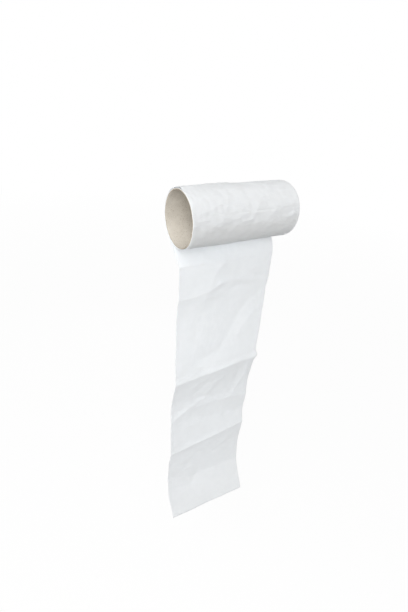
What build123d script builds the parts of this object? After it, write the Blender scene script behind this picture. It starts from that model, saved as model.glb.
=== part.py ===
from build123d import *
import os
from math import degrees, pi, radians, sqrt

# A toilet paper roll on its last turns: a spirally wound paperboard tube with
# one continuous web of tissue still wound on it, its free end hanging down.
# Millimetres. Origin at the centre of the tube's bore, X along the bore, the
# front towards -Y, Z up.

# Paperboard tube
roll_width = 100.0          # the tube and the web are cut to one width
bore_diameter = 43.6
tube_wall = 0.46            # two plies of board glued together
strip_width = 74.0          # width of the board strip that is wound into a tube
seam_width = 0.5            # butt gap between neighbouring turns of the strip

# Tissue web
web_caliper = 0.28          # embossed two-ply tissue
turn_gap = 0.16             # slack between one turn and the next
first_turn_slack = 0.08     # between the tube and the first turn
half_turns = 3              # whole half turns before the web leaves the tube
leave_angle = 48.0          # past the rear horizontal, going under the tube
sheet_length = 112.0        # from one row of perforation to the next

# Perforation
cut_length = 4.0
tie_length = 1.0            # paper left between two cuts
cut_width = 0.3
nib_length = 0.5            # torn ties left standing on the free edge
cut_depth = 8.0             # of the cutters on the tail, clear of its bulges

# Hanging tail, from where the web leaves the tube to its torn edge
run_off = 12.0              # straight, tangent to the last turn
first_row_drop = 16.7       # the first perforation row below the tube's underside
straight_below = 26.0       # distances along the web below the first row
upper_fold_below = 117.0
slack_below = 150.0
lower_fold_below_left = 216.0
lower_fold_below_right = 232.0
level_below = 264.0
curl_below = 300.0
tail_sheets = 3             # whole sheets between the first row and the torn edge
section_spacing = 9.0       # between the cross-sections the tail is lofted through

# Derived sizes
tube_radius = bore_diameter / 2 + tube_wall
turn_pitch = web_caliper + turn_gap
half_width = roll_width / 2
torn_edge_below = tail_sheets * sheet_length + nib_length

# Stations of the tail, each a straight line across the web: how far below the
# first row it meets the left and the right edge, how far those two points
# stand in front of the bore's axis, and how far the line is shifted sideways.
first_row = (0.0, 0.0, 4.5, 0.5, 0.0)
straight = (straight_below, straight_below, 7.0, 2.5, 0.0)
upper_fold = (upper_fold_below, upper_fold_below, 15.0, 7.5, -1.5)
slack = (slack_below, slack_below, 10.0, 3.0, -1.0)
lower_fold = (lower_fold_below_left, lower_fold_below_right, 10.5, 4.0, 1.0)
level = (level_below, level_below, 7.5, 2.5, 2.0)
curl = (curl_below, curl_below, 10.0, 7.0, 3.0)
torn_edge = (torn_edge_below, torn_edge_below, 17.5, 20.5, 5.5)
stations = [first_row, straight, upper_fold, slack, lower_fold, level, curl, torn_edge]
folds = [upper_fold, lower_fold]


def half_turn(number):
    """Centre (y) and inner radius of one half turn of the two-centre spiral."""
    centre = -turn_pitch / 2 if number % 2 else 0.0
    return centre, tube_radius + first_turn_slack + number * turn_pitch / 2


def wound_side(offset):
    """One face of the wound web: its arcs, then the tangent run-off."""
    arcs = []
    for number in range(half_turns + 1):
        centre, radius = half_turn(number)
        start = 0 if number % 2 else 180
        turned = 180 if number < half_turns else leave_angle
        arcs.append(CenterArc((centre, 0), radius + offset, start, -turned))
    leave_point = arcs[-1] @ 1
    return arcs + [Line(leave_point, leave_point + (arcs[-1] % 1) * run_off)]


def drop(above, below, length):
    """Height between two points of an edge that are a given length apart."""
    return sqrt(length**2 - (above.X - below.X) ** 2 - (above.Y - below.Y) ** 2)


def tail_points():
    """The stations as pairs of points on the tail's left and right edge."""
    pairs = []
    for left_below, right_below, left_front, right_front, shift in stations:
        left = Vector(shift - half_width, -left_front, -tube_radius - first_row_drop)
        right = Vector(shift + half_width, -right_front, -tube_radius - first_row_drop)
        if pairs:
            left.Z = pairs[-1][0].Z - drop(pairs[-1][0], left, left_below - reached[0])
            right.Z = pairs[-1][1].Z - drop(pairs[-1][1], right, right_below - reached[1])
        reached = (left_below, right_below)
        pairs.append((left, right))
    return pairs


def web_section(left, right, heading):
    """The web's thin cross-section along one station, square to its heading."""
    rear = (right - left).cross(heading).normalized() * web_caliper
    return Wire.make_polygon([left, right, right + rear, left + rear])


def tail_row(below, edges):
    """Points on both edges of the tail a distance below the first row."""
    points = []
    for side in (0, 1):
        place = 0
        while place < len(stations) - 2 and stations[place + 1][side] < below:
            place += 1
        start, end = stations[place][side], stations[place + 1][side]
        share = (below - start) / (end - start)
        points.append(edges[place][side] * (1 - share) + edges[place + 1][side] * share)
    return points


def cut_row(frame, height, depth):
    """Cutters of one perforation row, along the frame's X and through its Z."""
    step = cut_length + tie_length
    count = int(roll_width / step)
    places = [step * (number - (count - 1) / 2) for number in range(count)]
    return [frame * Pos(place, 0, 0) * Box(cut_length, height, depth) for place in places]


def wound_arc(number, angle):
    """Length of web in a part of one half turn."""
    return (half_turn(number)[1] + web_caliper / 2) * angle


def wound_place(distance):
    """Where the web is wound, a distance back from where it leaves the tube:
    the centre and radius of its half turn, and the angle from the rear."""
    number = half_turns
    turned = radians(leave_angle)
    while distance > wound_arc(number, turned):
        distance -= wound_arc(number, turned)
        number -= 1
        turned = pi
    centre, radius = half_turn(number)
    middle_radius = radius + web_caliper / 2
    end = -turned if number % 2 else 0.0
    return centre, end + distance / middle_radius, middle_radius


# Tube, with the butt seam of its inner ply open to the bore and that of its
# outer ply half a strip further on
turn_length = pi * (bore_diameter + tube_wall)
seam_pitch = strip_width * turn_length / sqrt(turn_length**2 - strip_width**2)
tube_section = Circle(tube_radius) - Circle(bore_diameter / 2)
core = extrude(Plane.YZ * tube_section, half_width, both=True)
for ply_radius, lead in ((bore_diameter / 2, 0), (tube_radius, seam_pitch / 2)):
    path = Helix(seam_pitch, roll_width + 2 * seam_pitch, ply_radius)
    groove = sweep(
        Plane(path @ 0, x_dir=(1, 0, 0), z_dir=path % 0) * Rectangle(tube_wall, seam_width),
        path=path,
        is_frenet=True,
    )
    placed = Pos(lead - half_width - seam_pitch, 0, 0) * (Rot(0, 90, 0) * groove)
    core -= placed

# Wound web: the section between its two faces, extruded along the bore
inner = wound_side(0)
outer = wound_side(web_caliper)
start_cap = Line(inner[0] @ 0, outer[0] @ 0)
end_cap = Line(inner[-1] @ 1, outer[-1] @ 1)
web_outline = Wire(inner + outer + [start_cap, end_cap])
tissue = extrude(Plane.YZ * Face(web_outline), half_width, both=True)

# Hanging tail: smooth from the run-off to the upper fold, then from fold to
# fold, each length lofted between its two curved edges
leave_heading = Vector(0, (inner[-1] % 1).X, (inner[-1] % 1).Y)
run_off_end = Vector(0, (inner[-1] @ 1).X, (inner[-1] @ 1).Y)
half_across = Vector(half_width, 0, 0)
edges = tail_points()
stops = [stations.index(fold) for fold in folds] + [len(stations) - 1]
section = web_section(run_off_end - half_across, run_off_end + half_across, leave_heading)
lengths = []
begin = 0
for stop in stops:
    points = edges[begin : stop + 1]
    if not lengths:
        points = [(run_off_end - half_across, run_off_end + half_across)] + points
    sides = []
    for side in (0, 1):
        path = [pair[side] for pair in points]
        start_heading = path[1] - path[0] if lengths else leave_heading
        sides.append(Spline(*path, tangents=(start_heading, path[-1] - path[-2])))
    steps = round(sides[0].length / section_spacing)
    sections = [section]
    for step in range(1, steps + 1):
        share = step / steps
        heading = (sides[0] % share) + (sides[1] % share)
        if step == steps and stop < len(stations) - 1:
            heading += (edges[stop + 1][0] - edges[stop][0]).normalized()
            heading += (edges[stop + 1][1] - edges[stop][1]).normalized()
        sections.append(web_section(sides[0] @ share, sides[1] @ share, heading))
    lengths.append(Solid.make_loft(sections, ruled=False))
    section = sections[-1]
    begin = stop
tissue += lengths

# Perforation rows on the tail, the lowest one torn open along its cuts
rows = []
for count in range(tail_sheets + 1):
    left, right = tail_row(count * sheet_length, edges)
    left_ahead, right_ahead = tail_row(count * sheet_length + cut_length, edges)
    rear = (right - left).cross(left_ahead + right_ahead - left - right)
    height = 3 * nib_length if count == tail_sheets else cut_width
    frame = Plane((left + right) / 2, x_dir=right - left, z_dir=rear).location
    rows += cut_row(frame * Pos(0, height / 2, 0), height, cut_depth)

# Perforation rows on the wound turns, counted up from the one on the tail
first_middle = (edges[0][0] + edges[0][1]) / 2
lead_in = run_off + (first_middle - run_off_end).length
wound_length = wound_arc(half_turns, radians(leave_angle))
wound_length += sum(wound_arc(number, pi) for number in range(half_turns))
for count in range(1, 1 + int((lead_in + wound_length) / sheet_length)):
    centre, angle, radius = wound_place(count * sheet_length - lead_in)
    frame = Pos(0, centre, 0) * Rot(degrees(angle) - 90, 0, 0) * Pos(0, 0, radius)
    rows += cut_row(frame, cut_width, web_caliper + turn_gap / 2)
tissue -= rows

# Export
os.makedirs("parts", exist_ok=True)
export_step(core, "parts/core.step")
export_step(tissue, "parts/tissue.step")
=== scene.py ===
import math

import bpy
import numpy as np
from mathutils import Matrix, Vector, noise


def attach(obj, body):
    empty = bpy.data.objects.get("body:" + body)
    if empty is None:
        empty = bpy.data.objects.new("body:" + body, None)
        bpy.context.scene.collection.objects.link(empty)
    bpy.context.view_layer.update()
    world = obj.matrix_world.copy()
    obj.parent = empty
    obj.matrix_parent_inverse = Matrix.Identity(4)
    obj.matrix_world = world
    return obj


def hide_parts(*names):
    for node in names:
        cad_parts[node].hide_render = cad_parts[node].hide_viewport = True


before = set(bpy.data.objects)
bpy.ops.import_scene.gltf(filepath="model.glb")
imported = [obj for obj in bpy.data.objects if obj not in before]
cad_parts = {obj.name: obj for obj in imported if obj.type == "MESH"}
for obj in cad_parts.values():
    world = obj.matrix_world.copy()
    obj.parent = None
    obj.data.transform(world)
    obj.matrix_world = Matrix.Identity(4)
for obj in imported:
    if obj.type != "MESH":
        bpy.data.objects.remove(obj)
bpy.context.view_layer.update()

# Paperboard tube: two plies of unbleached grey-brown board wound on a slant
# and glued, then cut square with the paper. The butt seam of the inner ply
# runs round the bore. The tube's own solid carries this finish.
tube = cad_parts["core"]
tube_half_width = 0.050

board = bpy.data.materials.new("wound_board")
board.use_nodes = True
board_nodes = board.node_tree.nodes
board_links = board.node_tree.links
board_nodes.clear()
board_out = board_nodes.new("ShaderNodeOutputMaterial")
board_face = board_nodes.new("ShaderNodeBsdfPrincipled")
board_face.inputs["Roughness"].default_value = 0.88
board_face.inputs["Specular IOR Level"].default_value = 0.25
board_links.new(board_face.outputs["BSDF"], board_out.inputs["Surface"])
board_place = board_nodes.new("ShaderNodeTexCoord")

# Recycled fibre clouds and specks, with the cut ends darker than the faces
board_cloud = board_nodes.new("ShaderNodeTexNoise")
board_cloud.inputs["Scale"].default_value = 90.0
board_cloud.inputs["Detail"].default_value = 6.0
board_cloud.inputs["Roughness"].default_value = 0.65
board_links.new(board_place.outputs["Object"], board_cloud.inputs["Vector"])
board_tone = board_nodes.new("ShaderNodeValToRGB")
board_tone.color_ramp.elements[0].position = 0.3
board_tone.color_ramp.elements[0].color = (0.58, 0.54, 0.48, 1)
board_tone.color_ramp.elements[1].position = 0.72
board_tone.color_ramp.elements[1].color = (0.71, 0.67, 0.60, 1)
board_links.new(board_cloud.outputs["Fac"], board_tone.inputs["Fac"])
board_speck = board_nodes.new("ShaderNodeTexNoise")
board_speck.inputs["Scale"].default_value = 1400.0
board_speck.inputs["Detail"].default_value = 2.0
board_links.new(board_place.outputs["Object"], board_speck.inputs["Vector"])
board_speck_tone = board_nodes.new("ShaderNodeValToRGB")
board_speck_tone.color_ramp.elements[0].position = 0.30
board_speck_tone.color_ramp.elements[0].color = (0.72, 0.68, 0.62, 1)
board_speck_tone.color_ramp.elements[1].position = 0.42
board_speck_tone.color_ramp.elements[1].color = (1, 1, 1, 1)
board_links.new(board_speck.outputs["Fac"], board_speck_tone.inputs["Fac"])
board_speckled = board_nodes.new("ShaderNodeMixRGB")
board_speckled.blend_type = "MULTIPLY"
board_speckled.inputs["Fac"].default_value = 1.0
board_links.new(board_tone.outputs["Color"], board_speckled.inputs["Color1"])
board_links.new(board_speck_tone.outputs["Color"], board_speckled.inputs["Color2"])
board_axes = board_nodes.new("ShaderNodeSeparateXYZ")
board_links.new(board_place.outputs["Object"], board_axes.inputs["Vector"])
board_off_middle = board_nodes.new("ShaderNodeMath")
board_off_middle.operation = "ABSOLUTE"
board_links.new(board_axes.outputs["X"], board_off_middle.inputs[0])
board_end = board_nodes.new("ShaderNodeMapRange")
board_end.inputs["From Min"].default_value = tube_half_width - 0.00015
board_end.inputs["From Max"].default_value = tube_half_width - 0.00002
board_links.new(board_off_middle.outputs["Value"], board_end.inputs["Value"])
board_ends = board_nodes.new("ShaderNodeMixRGB")
board_ends.blend_type = "MULTIPLY"
board_ends.inputs["Color2"].default_value = (0.78, 0.71, 0.62, 1)
board_links.new(board_end.outputs["Result"], board_ends.inputs["Fac"])
board_links.new(board_speckled.outputs["Color"], board_ends.inputs["Color1"])
board_links.new(board_ends.outputs["Color"], board_face.inputs["Base Color"])
board_bump = board_nodes.new("ShaderNodeBump")
board_bump.inputs["Strength"].default_value = 0.5
board_bump.inputs["Distance"].default_value = 0.00015
board_links.new(board_speck.outputs["Fac"], board_bump.inputs["Height"])
board_links.new(board_bump.outputs["Normal"], board_face.inputs["Normal"])

for slot in tube.material_slots:
    slot.material = board

# Tissue: one continuous two-ply web, 100 mm wide. Its last turns are still
# wound on the tube; it leaves from underneath, bends down and hangs by its
# own weight in three sheets, creased at two folds and curling at the end.
web_width = 0.100
web_caliper = 0.00028
wound_radius = 0.02234
turn_pitch = 0.00044
whole_half_turns = 3
leave_angle = math.radians(48)
run_off = 0.012
bend_length = 0.0174
first_row_height = -0.03896

# Perforation: cuts and ties in turn. The paper dips towards each cut, a share of
# the cuts on the hanging web is open, and torn ties stand on the free edge
sheet_length = 0.112
whole_sheets = 3
cut_length = 0.004
tie_length = 0.001
cut_width = 0.00005
dip_reach = 0.00018
dip_depth = 0.00009
lip_reach = 0.0008
lip_height = 0.00006
nib_length = 0.0005
open_cuts = 0.38

# Lines across the hanging web: distance below the first perforation row at
# the left and the right edge, how far those points stand in front, and shift
first_row = (0.0, 0.0, 0.0045, 0.0005, 0.0)
straight = (0.026, 0.026, 0.0070, 0.0025, 0.0)
upper_fold = (0.117, 0.117, 0.0150, 0.0075, -0.0015)
slack = (0.150, 0.150, 0.0100, 0.0030, -0.0010)
lower_fold = (0.216, 0.232, 0.0105, 0.0040, 0.0010)
level = (0.264, 0.264, 0.0075, 0.0025, 0.0020)
curl = (0.300, 0.300, 0.0100, 0.0070, 0.0030)
torn_edge = (0.3365, 0.3365, 0.0175, 0.0205, 0.0055)
tail_lines = [first_row, straight, upper_fold, slack, lower_fold, level, curl, torn_edge]
fold_places = [tail_lines.index(line) for line in (upper_fold, lower_fold, torn_edge)]


def wound_place(distance):
    """Point on the web's inner face and its heading there, by distance from its inner end."""
    left = distance
    for number in range(whole_half_turns + 1):
        centre = -turn_pitch / 2 if number % 2 else 0.0
        radius = wound_radius + number * turn_pitch / 2
        start = 0.0 if number % 2 else math.pi
        swept = math.pi if number < whole_half_turns else leave_angle
        length = (radius + web_caliper / 2) * swept
        if left <= length or number == whole_half_turns:
            turned = min(left, length) / (radius + web_caliper / 2)
            angle = start - turned
            out = np.array([0.0, math.cos(angle), math.sin(angle)])
            point = np.array([0.0, centre, 0.0]) + out * radius
            ahead = np.array([0.0, math.sin(angle), -math.cos(angle)])
            return point + ahead * max(left - length, 0.0), ahead
        left -= length


def wound_length():
    """Length of web between its inner end and where it leaves the tube."""
    total = 0.0
    for number in range(whole_half_turns + 1):
        swept = math.pi if number < whole_half_turns else leave_angle
        total += (wound_radius + number * turn_pitch / 2 + web_caliper / 2) * swept
    return total


def hanging_edge(points, start_ahead, end_ahead, shares):
    """A paper edge bent smoothly through points, read at shares of its length."""
    points = np.array(points)
    steps = np.linalg.norm(np.diff(points, axis=0), axis=1)
    count = len(points)
    lhs = np.zeros((count, count))
    rhs = np.zeros((count, 3))
    lhs[0, 0] = lhs[-1, -1] = 1.0
    rhs[0] = start_ahead / np.linalg.norm(start_ahead)
    rhs[-1] = end_ahead / np.linalg.norm(end_ahead)
    slopes = np.diff(points, axis=0) / steps[:, None]
    for i in range(1, count - 1):
        lhs[i, i - 1] = steps[i]
        lhs[i, i] = 2 * (steps[i - 1] + steps[i])
        lhs[i, i + 1] = steps[i - 1]
        rhs[i] = 3 * (steps[i] * slopes[i - 1] + steps[i - 1] * slopes[i])
    ahead = np.linalg.solve(lhs, rhs)
    fine = []
    for i in range(count - 1):
        t = np.linspace(0, 1, 61)[:, None]
        if i < count - 2:
            t = t[:-1]
        fine.append(
            (2 * t**3 - 3 * t**2 + 1) * points[i]
            + (t**3 - 2 * t**2 + t) * steps[i] * ahead[i]
            + (3 * t**2 - 2 * t**3) * points[i + 1]
            + (t**3 - t**2) * steps[i] * ahead[i + 1]
        )
    fine = np.vstack(fine)
    run = np.concatenate([[0], np.cumsum(np.linalg.norm(np.diff(fine, axis=0), axis=1))])
    wanted = np.clip(shares, 0, 1) * run[-1]
    return np.stack([np.interp(wanted, run, fine[:, k]) for k in range(3)], axis=1)


# Points on both edges, each as far below the last as the paper between allows
edge_points = []
for number, (left_at, right_at, left_front, right_front, shift) in enumerate(tail_lines):
    pair = []
    for side, (at, front) in enumerate(((left_at, left_front), (right_at, right_front))):
        x = shift + web_width * (side - 0.5)
        z = first_row_height
        if number:
            before = edge_points[-1][side]
            length = at - tail_lines[number - 1][side]
            z = before[2] - math.sqrt(length**2 - (x - before[0]) ** 2 - (front + before[1]) ** 2)
        pair.append(np.array([x, -front, z]))
    edge_points.append(pair)

wound_end = wound_length()
leave_point, leave_ahead = wound_place(wound_end + run_off)
first_row_at = wound_end + run_off + bend_length

# Columns of the web follow the perforation: half a tie, then cuts and ties
strips_per_cut = round(cut_length / tie_length)
strip_count = round(web_width / tie_length)
strip_middles = [tie_length * (k + 0.5) - web_width / 2 for k in range(strip_count)]
columns = np.array([-web_width / 2] + strip_middles + [web_width / 2])
across = columns / web_width + 0.5
cut_strips = [k % (strips_per_cut + 1) < strips_per_cut for k in range(strip_count - 1)]
cut_column = [False] + cut_strips + [False, False]

# Rows: coarse where turns cover each other, finer on the paper that shows, and
# close beside each perforation. Two perforations lie on the turns
perforations = [first_row_at + sheet_length * k for k in range(-2, whole_sheets)]
torn_row = first_row_at + whole_sheets * sheet_length
even_rows = []
for begin, end, step in (
    (0, 0.085, 0.003),
    (0.085, 0.125, 0.0018),
    (0.125, 0.170, 0.0009),
    (0.170, first_row_at, 0.0018),
    (first_row_at, torn_row, 0.00115),
):
    even_rows += list(np.arange(begin, end, step))
clearance = 0.0006
kept_rows = [r for r in even_rows if all(abs(r - p) > clearance for p in perforations)]
kept_rows = [r for r in kept_rows if r < torn_row - nib_length] + [torn_row, torn_row + nib_length]
for p in perforations:
    kept_rows += [p - dip_reach, p - cut_width / 2, p + cut_width / 2, p + dip_reach]
rows = np.array(sorted(kept_rows))
row_count, column_count = len(rows), len(columns)

# Lay every row out in space
web = np.zeros((row_count, column_count, 3))
below = rows - first_row_at
wound_rows = rows <= wound_end + run_off
for i in np.nonzero(wound_rows)[0]:
    web[i] = wound_place(rows[i])[0]
    web[i, :, 0] = columns

first = 0
begin_left = begin_right = -bend_length
for place in fold_places:
    tops = edge_points[first : place + 1]
    ahead = (leave_ahead, leave_ahead)
    if first == 0:
        tops = [[leave_point + np.array([x, 0, 0]) for x in (-web_width / 2, web_width / 2)]] + tops
    else:
        ahead = tuple(tops[1][side] - tops[0][side] for side in (0, 1))
    end_left, end_right = tail_lines[place][0], tail_lines[place][1]
    start_line = begin_left + (begin_right - begin_left) * across
    end_line = end_left + (end_right - end_left) * across
    share = (below[:, None] - start_line) / (end_line - start_line)
    inside = (share >= 0) & (share <= 1) & ~wound_rows[:, None]
    i, j = np.nonzero(inside)
    sides = []
    for side in (0, 1):
        path = [pair[side] for pair in tops]
        sides.append(hanging_edge(path, ahead[side], path[-1] - path[-2], share[i, j]))
    web[i, j] = sides[0] * (1 - across[j])[:, None] + sides[1] * across[j][:, None]
    first = place
    begin_left, begin_right = end_left, end_right

# Where the paper strays from the plain strip: its last sheet is stretched, most on
# the right, and turned in at the bottom left corner, and the right edge is drawn in
# down to the second perforation
def eased(value):
    """From 0 to 1 without a corner at either end."""
    value = np.clip(value, 0, 1)
    return value * value * (3 - 2 * value)


mm_below = below[:, None] * 1000
last_sheet_heading = np.array([0.10, -0.30, -0.95])
left_stretch, right_adds = 0.0010, 0.0031
corner_turned_in, right_drawn_in = 0.0012, 0.0011
stretch = (left_stretch + right_adds * across**1.5) * eased((mm_below - 250) / 86)
web += stretch[:, :, None] * last_sheet_heading
web[:, :, 0] += corner_turned_in * (1 - across) ** 2 * eased((mm_below - 295) / 41)
drawn_share = eased((mm_below + 10) / 20) * eased((115 - mm_below) / 5)
web[:, :, 0] -= right_drawn_in * drawn_share * np.exp((across - 1) / 0.25)

# Both edges shift here and there, most at the ear on the second perforation: how
# far to the right, middle and half height in mm below the first row, and how
# much of the width the shift reaches in from its edge
right_shifts = [(-0.0010, 104, 8.0, 0.12), (0.0011, 116.5, 2.0, 0.03), (-0.0012, 202, 12.0, 0.12)]
left_shifts = [(-0.0006, 241, 7.0, 0.05)]
for from_edge, shifts in ((1 - across, right_shifts), (across, left_shifts)):
    for amount, middle, half_height, reach in shifts:
        bell = np.exp(-(((mm_below - middle) / half_height) ** 2))
        web[:, :, 0] += amount * bell * np.exp(-from_edge / reach)

# The slit edges of the hanging web wander a little, and its torn ties are uneven
edge_wander = 0.0004
for i in np.nonzero(~wound_rows)[0]:
    for side, from_edge in ((1.0, across), (2.0, 1 - across)):
        wander = edge_wander * noise.noise(Vector((below[i] * 55, side, 6.5)))
        web[i, :, 0] += wander * np.exp(-from_edge / 0.03)
for j in range(column_count):
    torn_share = max(1 + 1.6 * noise.noise(Vector((columns[j] * 900, 4.4, 0.7))), 0.2)
    web[-1, j] = web[-2, j] + (web[-1, j] - web[-2, j]) * torn_share

# On the front of the tube the outer turns stand a little past the board's cut
# ends, more on the left than on the right
overhang_from, overhang_blend, front_blend = 0.070, 0.03, 0.03
overhang_length, overhang_wander = 0.00045, 0.00012
for i in np.nonzero(wound_rows)[0]:
    outer_turns = min(max((rows[i] - overhang_from) / overhang_blend, 0.0), 1.0)
    outer_turns *= eased(0.5 - web[i, 0, 1] / front_blend)
    wander = overhang_wander * noise.noise(Vector((rows[i] * 60, 0.4, 2.2)))
    overhang = outer_turns * (overhang_length + wander)
    web[i, :, 0] -= overhang * np.exp(-across / 0.08)
    web[i, :, 0] += 0.5 * overhang * np.exp((across - 1) / 0.08)

# Outward normals of the smooth web
along = np.gradient(web, axis=0)
sideways = np.gradient(web, axis=1)
normal = np.cross(sideways, along)
normal /= np.linalg.norm(normal, axis=2)[:, :, None]

# Creases pressed into the web: points as (mm right of the middle, mm below the
# first row), then height towards the front, sharpness and reach in mm. Those
# above the first row by 77 mm or more lie on the front of the roll
creases = [
    ([(-52, -86), (-28, -82), (-8, -77)], 0.9, 0.4, 4.0),
    ([(-11, -91), (-3, -97), (-2, -102)], 0.5, 0.4, 2.5),
    ([(25, -87), (23, -101)], 0.5, 0.5, 3.0),
    ([(-39, -123), (-24, -116)], 0.5, 0.5, 3.0),
    ([(15, -122), (26, -112)], 0.5, 0.5, 3.0),
    ([(-44, -104), (-36, -97), (-20, -99)], 0.4, 0.5, 3.0),
    ([(2, -118), (8, -108), (5, -98)], 0.4, 0.5, 3.0),
    ([(34, -96), (47, -104)], 0.4, 0.5, 3.0),
    ([(-50, 0), (50, 0)], 0.6, 0.5, 6.0),
    ([(-50, 0), (-6, 0)], 0.6, 0.5, 6.0),
    ([(-50, 29), (-35, 29), (-19, 26), (-9, 21)], 1.1, 0.4, 6.0),
    ([(-9, 21), (9, 21), (31, 25), (50, 27)], 0.5, 0.4, 3.0),
    ([(-18, 22), (-15, 12), (-11, 6), (-6, 2)], 0.8, 0.5, 5.0),
    ([(-6, 14), (4, 17)], -0.4, 0.4, 2.0),
    ([(6, 29), (16, 27), (30, 31)], -0.4, 0.4, 2.5),
    ([(20, 13), (33, 12), (44, 16)], 0.3, 0.4, 2.5),
    ([(41, 39), (31, 46), (20, 56), (12, 73), (7, 82), (-1, 93), (-25, 99)], -0.65, 1.5, 7.0),
    ([(46, 56), (36, 62), (25, 74), (20, 83)], 0.6, 0.8, 5.0),
    ([(-22, 31), (-12, 34), (9, 38)], 0.3, 0.5, 3.0),
    ([(-34, 39), (-19, 32), (-7, 31)], 0.25, 0.5, 3.0),
    ([(-50, 106), (50, 106.5)], 0.25, 0.4, 2.0),
    ([(-50, 109.5), (50, 110)], -0.25, 0.4, 2.0),
    ([(-50, 114.5), (50, 115.5)], 0.12, 0.4, 1.5),
    ([(-50, 117), (50, 119)], 0.65, 0.3, 6.0),
    ([(-10, 118), (50, 119)], 0.4, 0.5, 6.0),
    ([(-48, 123), (-36, 127)], 0.3, 0.5, 2.5),
    ([(45, 119), (40, 130), (44, 143)], 0.7, 0.6, 4.0),
    ([(10, 124), (20, 130), (24, 140)], 0.35, 0.5, 2.5),
    ([(-30, 133), (-22, 128), (-12, 126)], 0.35, 0.5, 2.5),
    ([(14, 150), (20, 158), (16, 165)], 0.35, 0.5, 2.5),
    ([(-40, 196), (-26, 190), (-10, 193)], 0.3, 0.8, 5.0),
    ([(24, 196), (38, 204)], -0.4, 0.6, 4.0),
    ([(-50, 174), (-38, 166), (-28, 160), (-11, 156), (-6, 146), (1, 136), (9, 134)], 0.9, 0.8, 7.0),
    ([(-24, 163), (-5, 166), (20, 170), (50, 179)], 0.9, 1.5, 8.0),
    ([(-6, 186), (18, 191), (42, 200)], -0.9, 4.0, 9.0),
    ([(18, 170), (27, 168), (34, 157), (40, 147)], 0.5, 1.0, 4.0),
    ([(-23, 142), (-17, 138), (-10, 133), (-4, 134)], -0.4, 0.5, 3.0),
    ([(-13, 152), (-5, 154), (2, 161)], -0.6, 0.5, 3.0),
    ([(-50, 222.5), (50, 223.5)], 1.3, 0.4, 5.0),
    ([(-48, 271), (-31, 279), (-15, 287), (-4, 286), (13, 286), (30, 288), (46, 291)], -0.9, 2.5, 8.0),
    ([(-30, 246), (-21, 245)], 0.4, 0.5, 2.5),
    ([(-31, 269), (-26, 265), (-18, 266)], 0.4, 0.5, 2.5),
    ([(-26, 294), (-19, 296), (-14, 292)], -0.25, 0.5, 2.5),
    ([(16, 250), (28, 246)], 0.4, 0.5, 2.5),
    ([(12, 257), (36, 251)], -0.4, 0.5, 2.5),
    ([(-14, 288), (-9, 278)], -0.5, 0.8, 4.0),
    ([(-14, 15), (-9, 9), (-2, 8)], -0.2, 0.3, 1.8),
    ([(-2, 27), (6, 24), (13, 26)], 0.2, 0.3, 1.8),
    ([(14, 20), (23, 16), (31, 19)], 0.35, 0.3, 1.8),
    ([(27, 22), (35, 20), (44, 22)], -0.3, 0.3, 1.8),
    ([(1, 125), (-6, 131), (-4, 138)], 0.35, 0.3, 2.0),
    ([(27, 125), (32, 133), (30, 141)], -0.35, 0.3, 2.0),
    ([(-8, 146), (3, 142), (12, 146)], 0.35, 0.3, 2.0),
    ([(-42, 137), (-33, 141), (-27, 148)], 0.3, 0.3, 2.0),
    ([(2, 233), (12, 236), (18, 244)], 0.35, 0.3, 2.0),
    ([(-12, 243), (-4, 248), (4, 246)], -0.35, 0.3, 2.0),
    ([(26, 236), (33, 241), (42, 240)], 0.3, 0.3, 2.0),
    ([(-38, 252), (-30, 257), (-22, 256)], -0.3, 0.3, 2.0),
]
right_of_middle, down_web = np.meshgrid(columns * 1000, below * 1000)
relief = np.zeros(web.shape[:2])
for path, height, sharp, reach in creases:
    near = np.full(relief.shape, np.inf)
    for (x0, s0), (x1, s1) in zip(path, path[1:]):
        dx, ds = x1 - x0, s1 - s0
        share = ((right_of_middle - x0) * dx + (down_web - s0) * ds) / (dx * dx + ds * ds)
        share = np.clip(share, 0, 1)
        near = np.minimum(near, np.hypot(right_of_middle - x0 - share * dx, down_web - s0 - share * ds))
    relief += height / 1000 * np.exp(-(np.hypot(near, sharp) - sharp) / reach)

# Most cuts are pressed shut and show as a shallow dip between the ties. On the
# hanging web some have opened, and the paper stands out in lips beside them
def cut_is_open(p, j):
    """Whether column j lies in an open cut of the perforation at p."""
    cut_number = (j - 1) // (strips_per_cut + 1) + 1
    chance = math.sin(cut_number * 12.9898 + p * 300) * 43758.5453 % 1
    return p > wound_end and chance > 1 - open_cuts


for p in perforations:
    beside = np.abs(rows - p)
    dip = np.interp(beside, [0, cut_width, dip_reach], [1, 1, 0])
    relief -= dip_depth * dip[:, None] * np.array(cut_column)
    if p > wound_end:
        lip = np.exp(-beside / lip_reach)[:, None]
        beat = 2 * np.pi * (columns + web_width / 2 - tie_length / 2) / (cut_length + tie_length)
        relief += lip_height * lip * (1 - np.cos(beat))

# Along both slit edges a crimp wheel has pressed the two plies together
crimp_inset = 0.0038
crimp_depth = 0.00016
crimp_reach = 0.0007
for crimp_at in (crimp_inset - web_width / 2, web_width / 2 - crimp_inset):
    relief -= crimp_depth * np.exp(-(((columns - crimp_at) / crimp_reach) ** 2))

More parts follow.
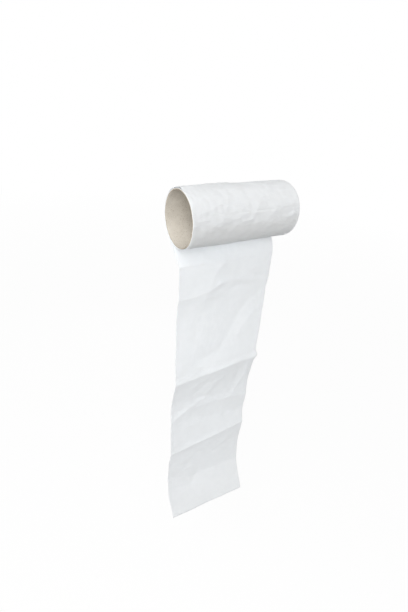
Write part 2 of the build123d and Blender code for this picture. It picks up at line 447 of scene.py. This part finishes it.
# Broad slack waves and small crumples, by the place on the web. On the tube the
# paper only stands out, loosely on the outermost turn, with puckers in a band
# low on its front
slack_wave, slack_ripple, slack_fine = 0.0009, 0.00042, 0.00012
turn_play = 0.00004
outer_play = 0.00030
outermost_from, outermost_blend = 0.105, 0.020
hanging_from, hanging_blend = -0.020, 0.016
pucker_height, pucker_band_height = 0.00035, 0.00055
pucker_band_at, pucker_band_reach = -0.1175, 0.006
lift = np.zeros(web.shape[:2])
for i in range(row_count):
    s = below[i]
    hanging = min(max((s - hanging_from) / hanging_blend, 0.0), 1.0)
    outermost = min(max((rows[i] - outermost_from) / outermost_blend, 0.0), 1.0)
    pucker_band = math.exp(-(((s - pucker_band_at) / pucker_band_reach) ** 2))
    for j in range(column_count):
        x = columns[j]
        wave = noise.noise(Vector((x * 22, s * 18, 3.1)))
        ripple = noise.noise(Vector((x * 85 + 7, s * 70, 1.7)))
        fine = noise.noise(Vector((x * 260, s * 230, 9.2)))
        pucker = max(noise.noise(Vector((x * 150, s * 420, 5.5))), 0.0)
        slack_lift = slack_wave * wave + slack_ripple * ripple + slack_fine * fine
        slack_lift -= 1.2 * relief[i, j]
        looseness = outer_play * max(1 + 0.7 * wave + 1.3 * ripple + fine, 0.0)
        looseness += pucker * (pucker_height + pucker_band_height * pucker_band)
        wound_lift = turn_play * (1 + ripple) + outermost * (relief[i, j] + looseness)
        lift[i, j] = hanging * slack_lift + (1 - hanging) * wound_lift

inner = web + normal * lift[:, :, None]
outer = inner + normal * web_caliper

# One closed skin: both faces of the web, and rims along its edges, its torn end
# and round every open cut
points = [tuple(p) for p in inner.reshape(-1, 3)] + [tuple(p) for p in outer.reshape(-1, 3)]
first_outer = row_count * column_count
faces = []
rim_faces = set()


def point_at(i, j):
    """Number of a point of the inner skin, by its row and column."""
    return i * column_count + j


solid = np.ones((row_count - 1, column_count - 1), bool)
for p in perforations:
    i = int(np.searchsorted(rows, p)) - 1
    for j in range(column_count - 1):
        solid[i, j] = not (cut_column[j] and cut_is_open(p, j))
solid[row_count - 2] = [not cut for cut in cut_column[:-1]]
for i in range(row_count - 1):
    for j in range(column_count - 1):
        if not solid[i, j]:
            continue
        a, b = point_at(i, j), point_at(i, j + 1)
        c, d = point_at(i + 1, j + 1), point_at(i + 1, j)
        faces.append((a, d, c, b))
        faces.append((a + first_outer, b + first_outer, c + first_outer, d + first_outer))
        rims = []
        if i == 0 or not solid[i - 1, j]:
            rims.append((a, b, b + first_outer, a + first_outer))
        if i == row_count - 2 or not solid[i + 1, j]:
            rims.append((c, d, d + first_outer, c + first_outer))
        if j == 0 or not solid[i, j - 1]:
            rims.append((d, a, a + first_outer, d + first_outer))
        if j == column_count - 2 or not solid[i, j + 1]:
            rims.append((b, c, c + first_outer, b + first_outer))
        rim_faces.update(range(len(faces), len(faces) + len(rims)))
        faces += rims

web_mesh = bpy.data.meshes.new("tissue_web")
web_mesh.from_pydata(points, [], faces)
for face in web_mesh.polygons:
    face.use_smooth = face.index not in rim_faces
place_on_web = web_mesh.attributes.new("place_on_web", "FLOAT_VECTOR", "POINT")
flat_place = np.zeros((2, row_count, column_count, 3))
flat_place[:, :, :, 0] = columns
flat_place[:, :, :, 1] = rows[:, None]
flat_place[1, :, :, 2] = 1.0
place_on_web.data.foreach_set("vector", flat_place.ravel())
web_mesh.update()
tissue = bpy.data.objects.new("tissue_web", web_mesh)
bpy.context.collection.objects.link(tissue)

paper = bpy.data.materials.new("creped_tissue")
paper.use_nodes = True
paper_nodes = paper.node_tree.nodes
paper_links = paper.node_tree.links
paper_nodes.clear()
paper_out = paper_nodes.new("ShaderNodeOutputMaterial")
paper_face = paper_nodes.new("ShaderNodeBsdfPrincipled")
paper_face.inputs["Roughness"].default_value = 0.95
paper_face.inputs["Specular IOR Level"].default_value = 0.15

# Every grain follows the web, so its turns and bends carry it along
paper_place = paper_nodes.new("ShaderNodeAttribute")
paper_place.attribute_name = "place_on_web"
paper_cloud = paper_nodes.new("ShaderNodeTexNoise")
paper_cloud.inputs["Scale"].default_value = 160.0
paper_cloud.inputs["Detail"].default_value = 5.0
paper_links.new(paper_place.outputs["Vector"], paper_cloud.inputs["Vector"])
paper_tone = paper_nodes.new("ShaderNodeValToRGB")
paper_tone.color_ramp.elements[0].position = 0.3
paper_tone.color_ramp.elements[0].color = (0.930, 0.923, 0.912, 1)
paper_tone.color_ramp.elements[1].position = 0.7
paper_tone.color_ramp.elements[1].color = (0.966, 0.959, 0.944, 1)
paper_links.new(paper_cloud.outputs["Fac"], paper_tone.inputs["Fac"])
paper_links.new(paper_tone.outputs["Color"], paper_face.inputs["Base Color"])

# Fine crepe ridges run across the web
crepe_scale = paper_nodes.new("ShaderNodeMapping")
crepe_scale.inputs["Scale"].default_value = (260.0, 1500.0, 1.0)
paper_links.new(paper_place.outputs["Vector"], crepe_scale.inputs["Vector"])
crepe = paper_nodes.new("ShaderNodeTexNoise")
crepe.inputs["Scale"].default_value = 1.0
crepe.inputs["Detail"].default_value = 3.0
crepe.inputs["Distortion"].default_value = 0.6
paper_links.new(crepe_scale.outputs["Vector"], crepe.inputs["Vector"])
crepe_bump = paper_nodes.new("ShaderNodeBump")
crepe_bump.inputs["Strength"].default_value = 0.7
crepe_bump.inputs["Distance"].default_value = 0.00025
paper_links.new(crepe.outputs["Fac"], crepe_bump.inputs["Height"])

# Loose fibres and felt marks between the ridges
felt = paper_nodes.new("ShaderNodeTexNoise")
felt.inputs["Scale"].default_value = 900.0
felt.inputs["Detail"].default_value = 4.0
paper_links.new(paper_place.outputs["Vector"], felt.inputs["Vector"])
felt_bump = paper_nodes.new("ShaderNodeBump")
felt_bump.inputs["Strength"].default_value = 0.5
felt_bump.inputs["Distance"].default_value = 0.0002
paper_links.new(felt.outputs["Fac"], felt_bump.inputs["Height"])
paper_links.new(crepe_bump.outputs["Normal"], felt_bump.inputs["Normal"])
paper_links.new(felt_bump.outputs["Normal"], paper_face.inputs["Normal"])
paper_through = paper_nodes.new("ShaderNodeBsdfTranslucent")
paper_through.inputs["Color"].default_value = (0.89, 0.93, 0.972, 1)
paper_mix = paper_nodes.new("ShaderNodeMixShader")
paper_mix.inputs["Fac"].default_value = 0.47
paper_links.new(paper_face.outputs["BSDF"], paper_mix.inputs[1])
paper_links.new(paper_through.outputs["BSDF"], paper_mix.inputs[2])
paper_links.new(paper_mix.outputs["Shader"], paper_out.inputs["Surface"])
web_mesh.materials.append(paper)

# Cut and torn edges are bare bright fibre, too short to let light through
edge_fibre = bpy.data.materials.new("cut_edge_fibre")
edge_fibre.use_nodes = True
edge_nodes = edge_fibre.node_tree.nodes
edge_nodes.clear()
edge_out = edge_nodes.new("ShaderNodeOutputMaterial")
edge_face = edge_nodes.new("ShaderNodeBsdfDiffuse")
edge_face.inputs["Color"].default_value = (0.95, 0.95, 0.95, 1)
edge_fibre.node_tree.links.new(edge_face.outputs["BSDF"], edge_out.inputs["Surface"])
web_mesh.materials.append(edge_fibre)
for face in web_mesh.polygons:
    face.material_index = 1 if face.index in rim_faces else 0

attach(tissue, "root")
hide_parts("tissue")

# Floor: plain and pale, some way under the hanging end. Seen directly it is
# paler still, and fades to the white of the surround further out
def seen_directly(nodes, links):
    """1 on a ray from the camera, off a gloss or through a clear surface, else 0.

    Light that soaks through paper is a transmission ray and a diffuse one, and gives 0.
    """
    rays = nodes.new("ShaderNodeLightPath")
    clear = nodes.new("ShaderNodeMath")
    clear.operation = "SUBTRACT"
    clear.use_clamp = True
    links.new(rays.outputs["Is Transmission Ray"], clear.inputs[0])
    links.new(rays.outputs["Is Diffuse Ray"], clear.inputs[1])
    seen = clear
    for ray in ("Is Camera Ray", "Is Glossy Ray"):
        either = nodes.new("ShaderNodeMath")
        either.operation = "MAXIMUM"
        links.new(seen.outputs["Value"], either.inputs[0])
        links.new(rays.outputs[ray], either.inputs[1])
        seen = either
    return seen.outputs["Value"]


floor_height = -0.52
floor_reach = 8.0
floor_sides = ((-1, -1), (1, -1), (1, 1), (-1, 1))
floor_corners = [(x * floor_reach, y * floor_reach, floor_height) for x, y in floor_sides]
floor_mesh = bpy.data.meshes.new("pale_floor")
floor_mesh.from_pydata(floor_corners, [], [(0, 1, 2, 3)])
floor = bpy.data.objects.new("pale_floor", floor_mesh)
bpy.context.collection.objects.link(floor)
floor_paint = bpy.data.materials.new("pale_floor")
floor_paint.use_nodes = True
floor_nodes = floor_paint.node_tree.nodes
floor_links = floor_paint.node_tree.links
floor_nodes.clear()
floor_out = floor_nodes.new("ShaderNodeOutputMaterial")
floor_matt = floor_nodes.new("ShaderNodeBsdfDiffuse")
floor_matt.inputs["Color"].default_value = (0.55, 0.55, 0.55, 1)
floor_pale = floor_nodes.new("ShaderNodeBsdfDiffuse")
floor_pale.inputs["Color"].default_value = (0.86, 0.86, 0.86, 1)
floor_white = floor_nodes.new("ShaderNodeEmission")
floor_white.inputs["Color"].default_value = (1, 1, 1, 1)
floor_white.inputs["Strength"].default_value = 1.0
floor_seen = floor_nodes.new("ShaderNodeMixShader")
floor_place = floor_nodes.new("ShaderNodeTexCoord")
floor_distance = floor_nodes.new("ShaderNodeVectorMath")
floor_distance.operation = "LENGTH"
floor_links.new(floor_place.outputs["Object"], floor_distance.inputs[0])
floor_fade = floor_nodes.new("ShaderNodeMapRange")
floor_fade.inputs["From Min"].default_value = 0.6
floor_fade.inputs["From Max"].default_value = 2.0
floor_fade.inputs["To Min"].default_value = 0.9
floor_fade.inputs["To Max"].default_value = 1.0
floor_links.new(floor_distance.outputs["Value"], floor_fade.inputs["Value"])
floor_links.new(floor_fade.outputs["Result"], floor_seen.inputs["Fac"])
floor_links.new(floor_pale.outputs["BSDF"], floor_seen.inputs[1])
floor_links.new(floor_white.outputs["Emission"], floor_seen.inputs[2])
floor_mix = floor_nodes.new("ShaderNodeMixShader")
floor_links.new(seen_directly(floor_nodes, floor_links), floor_mix.inputs["Fac"])
floor_links.new(floor_matt.outputs["BSDF"], floor_mix.inputs[1])
floor_links.new(floor_seen.outputs["Shader"], floor_mix.inputs[2])
floor_links.new(floor_mix.outputs["Shader"], floor_out.inputs["Surface"])
floor_mesh.materials.append(floor_paint)

# Studio: an even white surround, two large soft lamps at the left front, a weak
# one behind the hanging paper, and a narrow one below that shines through the
# paper where it leaves the roll
world = bpy.data.worlds.new("white_studio")
bpy.context.scene.world = world
world.use_nodes = True
world_nodes = world.node_tree.nodes
world_links = world.node_tree.links
world_nodes.clear()
world_out = world_nodes.new("ShaderNodeOutputWorld")
world_fill = world_nodes.new("ShaderNodeBackground")
world_fill.inputs["Color"].default_value = (1.0, 0.997, 0.99, 1)
world_fill.inputs["Strength"].default_value = 0.68
world_seen = world_nodes.new("ShaderNodeBackground")
world_seen.inputs["Color"].default_value = (1, 1, 1, 1)
world_seen.inputs["Strength"].default_value = 1.0
world_mix = world_nodes.new("ShaderNodeMixShader")
world_links.new(seen_directly(world_nodes, world_links), world_mix.inputs["Fac"])
world_links.new(world_fill.outputs["Background"], world_mix.inputs[1])
world_links.new(world_seen.outputs["Background"], world_mix.inputs[2])
world_links.new(world_mix.outputs["Shader"], world_out.inputs["Surface"])


def soft_lamp(name, place, aim, size, power):
    """A round soft lamp at a place, turned towards its aim and not seen itself."""
    data = bpy.data.lights.new(name, "AREA")
    data.shape = "DISK"
    data.size = size
    data.energy = power
    lamp = bpy.data.objects.new(name, data)
    lamp.location = place
    lamp.visible_camera = False
    lamp.rotation_euler = (Vector(aim) - Vector(place)).to_track_quat("-Z", "Y").to_euler()
    bpy.context.collection.objects.link(lamp)
    return lamp


soft_lamp("key_lamp", (-0.82, -0.25, 1.02), (0, 0, -0.05), 0.8, 7.1)
soft_lamp("front_lamp", (-0.75, -1.1, 0.54), (0, 0, -0.10), 0.8, 10.3)
soft_lamp("rear_lamp", (0.25, 0.75, -0.16), (0, 0, 0), 0.4, 0.4)
under_lamp = soft_lamp("under_lamp", (-0.01, 0.12, -0.485), (-0.01, 0, -0.03), 0.16, 0.044)
under_lamp.data.spread = math.radians(18)

# Camera: in front of the tube's left end and above it, looking down into its
# mouth and along the hanging paper
view_camera = bpy.data.cameras.new("view_camera")
view_camera.lens = 22.872
view_camera.sensor_width = 36.0
view_camera.clip_start = 0.01
camera = bpy.data.objects.new("view_camera", view_camera)
camera.location = (-0.18524, -0.24798, 0.09820)
camera.rotation_euler = (math.radians(58.484), math.radians(-5.097), math.radians(-30.763))
bpy.context.collection.objects.link(camera)
bpy.context.scene.camera = camera
bpy.context.scene.view_settings.view_transform = "Standard"
